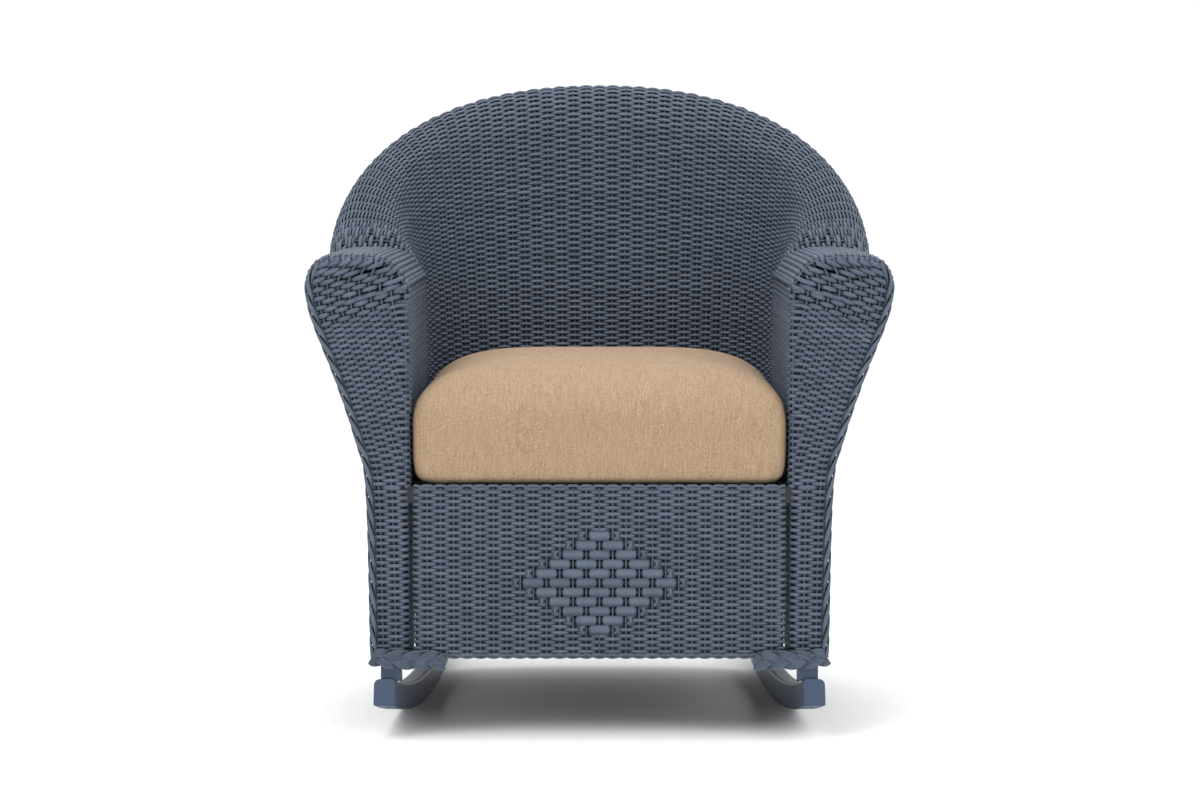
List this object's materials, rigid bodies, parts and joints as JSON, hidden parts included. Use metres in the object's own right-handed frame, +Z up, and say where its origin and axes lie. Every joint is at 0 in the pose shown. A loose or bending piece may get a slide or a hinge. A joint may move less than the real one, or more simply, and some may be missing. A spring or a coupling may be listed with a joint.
{
  "type": "woven rocking chair",
  "caption": "Barrel-back lounge rocker with woven skin, rolled arms, a front apron, curved rockers and a loose crowned seat cushion that lifts out.",
  "frame": {"origin": "on the floor, under the middle of the box round the chair, where the rockers touch the floor", "axes": "+Z up, the chair faces -Y, +X to the right seen from the front with -Y towards the viewer"},
  "size_m": [0.79, 0.8008, 0.8847],
  "materials": {
    "frame": "satin slate blue paint",
    "painted": "satin slate blue paint",
    "weave": "twisted strands in slate blue, low sheen",
    "braid": "plaited strands in slate blue, low sheen",
    "steel": "zinc plated",
    "webbing": "woven elastic webbing, dark",
    "cushion_cloth": "tan woven cloth with fine slubs",
    "foam": "cut foam",
    "zip": "tan tape and coil"
  },
  "bodies": {
    "chair": {"seat_frame": "frame", "arm_bracket_left": "frame", "arm_bracket_right": "frame", "arm_rail_left": "frame", "arm_rail_right": "frame", "back_rail": "frame", "back_stays": "frame", "apron_rail": "frame", "hem_rail": "frame", "side_stretcher_left": "frame", "side_stretcher_right": "frame", "rear_stretcher": "frame", "rocker_left": "painted", "rocker_right": "painted", "front_leg_left": "painted", "front_leg_right": "painted", "rear_leg_left": "painted", "rear_leg_right": "painted", "arm_weave_left": "weave", "arm_weave_right": "weave", "side_weave_left": "weave", "side_weave_right": "weave", "back_weave_inner": "weave", "back_weave_outer": "weave", "arm_front_left": "weave", "arm_front_right": "weave", "apron_weave": "weave", "arm_braid_left": "braid", "arm_braid_right": "braid", "rim_braid": "braid", "hem_braid": "braid", "foot_braid_left": "braid", "foot_braid_right": "braid", "rocker_bolts": "steel", "long_webbing": "webbing", "cross_webbing": "webbing"},
    "cushion": {"cushion_cover": "cushion_cloth", "cushion_foam": "foam", "cushion_zip": "zip"}
  },
  "joints": [
    {"name": "cushion_lift", "type": "slide", "parent": "chair", "child": "cushion", "axis": [0, 0, 1], "range_m": [0, 0.3]}
  ]
}
